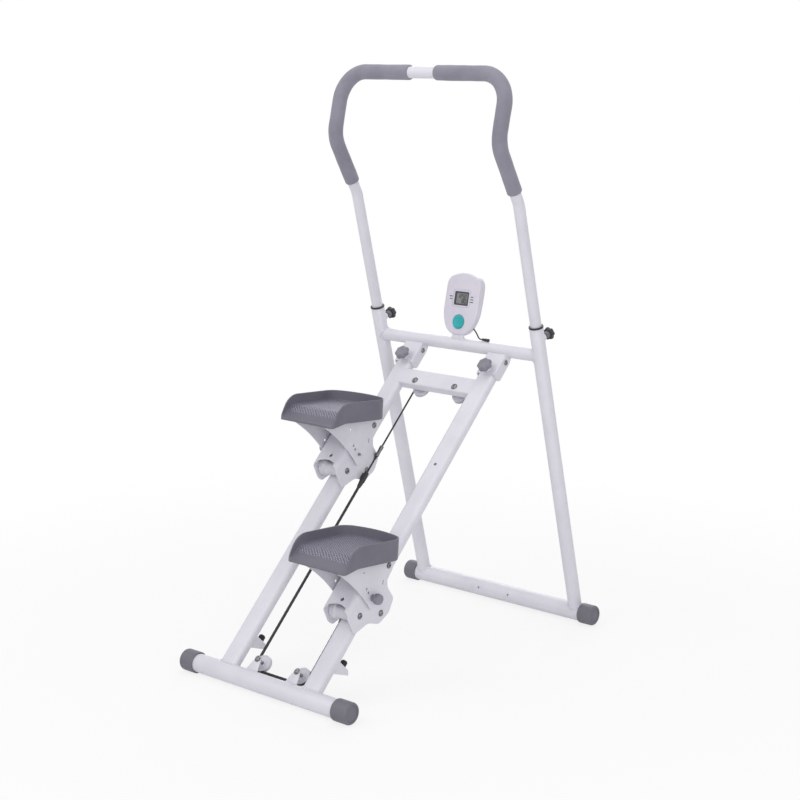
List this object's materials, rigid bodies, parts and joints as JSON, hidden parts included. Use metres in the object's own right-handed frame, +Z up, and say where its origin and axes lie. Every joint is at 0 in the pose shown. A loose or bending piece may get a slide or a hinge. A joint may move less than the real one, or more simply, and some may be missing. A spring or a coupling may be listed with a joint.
{
  "type": "stair stepper",
  "caption": "Folding stair stepper with rail-guided pedals, a drive cable, a telescoping handlebar and a small display console.",
  "frame": {"origin": "on the floor, at the middle of the box round the object: midway between the front and rear base tubes", "axes": "+X is the user's right, +Y points from the user towards the rear base, +Z is up"},
  "size_m": [0.624, 0.94, 1.4192],
  "materials": {
    "white_paint": "satin white powder coat with a faint lilac tone",
    "grey_plastic": "fine grain",
    "tray_plastic": "matt, with a dotted tread",
    "grip_foam": "matt closed-cell foam",
    "black_plastic": "satin",
    "black_rope": "black sheath",
    "rubber": "matt",
    "steel": "zinc plated",
    "white_nylon": "smooth",
    "white_abs": "satin",
    "teal_button": "satin",
    "screen": "smooth display window"
  },
  "bodies": {
    "rear_frame": {"rear_base_tube": "white_paint", "rear_cap_left": "grey_plastic", "rear_cap_right": "grey_plastic", "left_leg": "white_paint", "right_leg": "white_paint", "left_sleeve_collar": "black_plastic", "right_sleeve_collar": "black_plastic", "crossbar": "white_paint", "left_hinge_bracket": "white_paint", "right_hinge_bracket": "white_paint", "left_pivot_bolt": "steel", "right_pivot_bolt": "steel", "console_post": "white_paint", "console_housing": "white_abs", "console_screen": "screen", "console_lead": "black_rope", "lead_connector": "black_plastic"},
    "height_knob_left": {"left_height_knob": "black_plastic"},
    "height_knob_right": {"right_height_knob": "black_plastic"},
    "lock_knob_left": {"left_lock_knob": "grey_plastic"},
    "lock_knob_right": {"right_lock_knob": "grey_plastic"},
    "start_button": {"console_button": "teal_button"},
    "handlebar_frame": {"handlebar": "white_paint", "left_grip": "grip_foam", "right_grip": "grip_foam"},
    "ladder_frame": {"front_base_tube": "white_paint", "front_cap_left": "grey_plastic", "front_cap_right": "grey_plastic", "left_rail": "white_paint", "right_rail": "white_paint", "cross_plate": "white_paint", "left_pulley_tab": "white_paint", "right_pulley_tab": "white_paint", "drive_cable": "black_rope", "left_bumper": "rubber", "right_bumper": "rubber"},
    "left_top_pulley_wheel": {"left_top_pulley": "white_nylon"},
    "left_bottom_pulley_wheel": {"left_bottom_pulley": "white_nylon"},
    "left_carriage": {"left_carriage_body": "white_paint", "left_front_axle": "steel", "left_rear_axle": "steel", "left_cable_ferrule": "black_plastic", "left_cable_eye": "steel"},
    "left_front_wheel": {"left_front_roller": "white_nylon"},
    "left_rear_wheel": {"left_rear_roller": "white_nylon"},
    "left_pedal": {"left_pedal_bracket": "white_paint", "left_pedal_tray": "tray_plastic"},
    "left_pin": {"left_pull_pin": "grey_plastic"},
    "right_top_pulley_wheel": {"right_top_pulley": "white_nylon"},
    "right_bottom_pulley_wheel": {"right_bottom_pulley": "white_nylon"},
    "right_carriage": {"right_carriage_body": "white_paint", "right_front_axle": "steel", "right_rear_axle": "steel", "right_cable_ferrule": "black_plastic", "right_cable_eye": "steel"},
    "right_front_wheel": {"right_front_roller": "white_nylon"},
    "right_rear_wheel": {"right_rear_roller": "white_nylon"},
    "right_pedal": {"right_pedal_bracket": "white_paint", "right_pedal_tray": "tray_plastic"},
    "right_pin": {"right_pull_pin": "grey_plastic"}
  },
  "joints": [
    {"name": "ladder_fold", "type": "hinge", "parent": "rear_frame", "child": "ladder_frame", "pos_m": [0, 0.24857, 0.6989], "axis": [1, 0, 0], "range_deg": [0, 50]},
    {"name": "handlebar_height", "type": "slide", "parent": "rear_frame", "child": "handlebar_frame", "axis": [0, -0.2504, 0.9681], "range_m": [-0.15, 0.05]},
    {"name": "height_knob_left_turn", "type": "hinge", "parent": "rear_frame", "child": "height_knob_left", "pos_m": [-0.253, 0.29159, 0.77447], "axis": [0, 0.9681, 0.2504], "range_deg": [0, 360]},
    {"name": "lock_knob_left_turn", "type": "hinge", "parent": "rear_frame", "child": "lock_knob_left", "pos_m": [-0.132, 0.20394, 0.69316], "axis": [0, -0.6972, 0.7169], "range_deg": [0, 360]},
    {"name": "height_knob_right_turn", "type": "hinge", "parent": "rear_frame", "child": "height_knob_right", "pos_m": [0.253, 0.29159, 0.77447], "axis": [0, 0.9681, 0.2504], "range_deg": [0, 360]},
    {"name": "lock_knob_right_turn", "type": "hinge", "parent": "rear_frame", "child": "lock_knob_right", "pos_m": [0.132, 0.20394, 0.69316], "axis": [0, -0.6972, 0.7169], "range_deg": [0, 360]},
    {"name": "button_press", "type": "slide", "parent": "rear_frame", "child": "start_button", "axis": [0, 0.9781, -0.2079], "range_m": [0, 0.0025], "stiffness_N_per_m": 800, "springref_m": -0.001},
    {"name": "left_carriage_travel", "type": "slide", "parent": "ladder_frame", "child": "left_carriage", "axis": [0, 0.7169, 0.6972], "range_m": [-0.452, 0.098]},
    {"name": "right_carriage_travel", "type": "slide", "parent": "ladder_frame", "child": "right_carriage", "axis": [0, 0.7169, 0.6972], "range_m": [-0.098, 0.452]},
    {"name": "left_top_pulley_spin", "type": "hinge", "parent": "ladder_frame", "child": "left_top_pulley_wheel", "pos_m": [-0.063, 0.19431, 0.61126], "axis": [0, -0.6972, 0.7169], "continuous": true},
    {"name": "left_bottom_pulley_spin", "type": "hinge", "parent": "ladder_frame", "child": "left_bottom_pulley_wheel", "pos_m": [-0.063, -0.38786, 0.04512], "axis": [0, -0.6972, 0.7169], "continuous": true},
    {"name": "left_front_roller_spin", "type": "hinge", "parent": "left_carriage", "child": "left_front_wheel", "pos_m": [-0.132, -0.05779, 0.44255], "axis": [1, 0, 0], "continuous": true},
    {"name": "left_rear_roller_spin", "type": "hinge", "parent": "left_carriage", "child": "left_rear_wheel", "pos_m": [-0.132, 0.01509, 0.43028], "axis": [1, 0, 0], "continuous": true},
    {"name": "left_pedal_tip", "type": "hinge", "parent": "left_carriage", "child": "left_pedal", "pos_m": [-0.132, 0.03448, 0.54274], "axis": [1, 0, 0], "range_deg": [-30, 0]},
    {"name": "left_pin_pull", "type": "slide", "parent": "left_carriage", "child": "left_pin", "axis": [-1, 0, 0], "range_m": [0, 0.1]},
    {"name": "right_top_pulley_spin", "type": "hinge", "parent": "ladder_frame", "child": "right_top_pulley_wheel", "pos_m": [0.063, 0.19431, 0.61126], "axis": [0, -0.6972, 0.7169], "continuous": true},
    {"name": "right_bottom_pulley_spin", "type": "hinge", "parent": "ladder_frame", "child": "right_bottom_pulley_wheel", "pos_m": [0.063, -0.38786, 0.04512], "axis": [0, -0.6972, 0.7169], "continuous": true},
    {"name": "right_front_roller_spin", "type": "hinge", "parent": "right_carriage", "child": "right_front_wheel", "pos_m": [0.132, -0.31157, 0.19575], "axis": [1, 0, 0], "continuous": true},
    {"name": "right_rear_roller_spin", "type": "hinge", "parent": "right_carriage", "child": "right_rear_wheel", "pos_m": [0.132, -0.23869, 0.18349], "axis": [1, 0, 0], "continuous": true},
    {"name": "right_pedal_tip", "type": "hinge", "parent": "right_carriage", "child": "right_pedal", "pos_m": [0.132, -0.2193, 0.29594], "axis": [1, 0, 0], "range_deg": [-30, 0]},
    {"name": "right_pin_pull", "type": "slide", "parent": "right_carriage", "child": "right_pin", "axis": [1, 0, 0], "range_m": [0, 0.1]}
  ],
  "couplings": [
    {"joint": "right_carriage_travel", "follows": "left_carriage_travel", "ratio": -1},
    {"joint": "left_top_pulley_spin", "follows": "left_carriage_travel", "rad_per_m": -51.282},
    {"joint": "left_bottom_pulley_spin", "follows": "left_carriage_travel", "rad_per_m": -51.282},
    {"joint": "left_front_roller_spin", "follows": "left_carriage_travel", "rad_per_m": -58.824},
    {"joint": "left_rear_roller_spin", "follows": "left_carriage_travel", "rad_per_m": 58.824},
    {"joint": "right_top_pulley_spin", "follows": "left_carriage_travel", "rad_per_m": -51.282},
    {"joint": "right_bottom_pulley_spin", "follows": "left_carriage_travel", "rad_per_m": -51.282},
    {"joint": "right_front_roller_spin", "follows": "left_carriage_travel", "rad_per_m": 58.824},
    {"joint": "right_rear_roller_spin", "follows": "left_carriage_travel", "rad_per_m": -58.824}
  ]
}
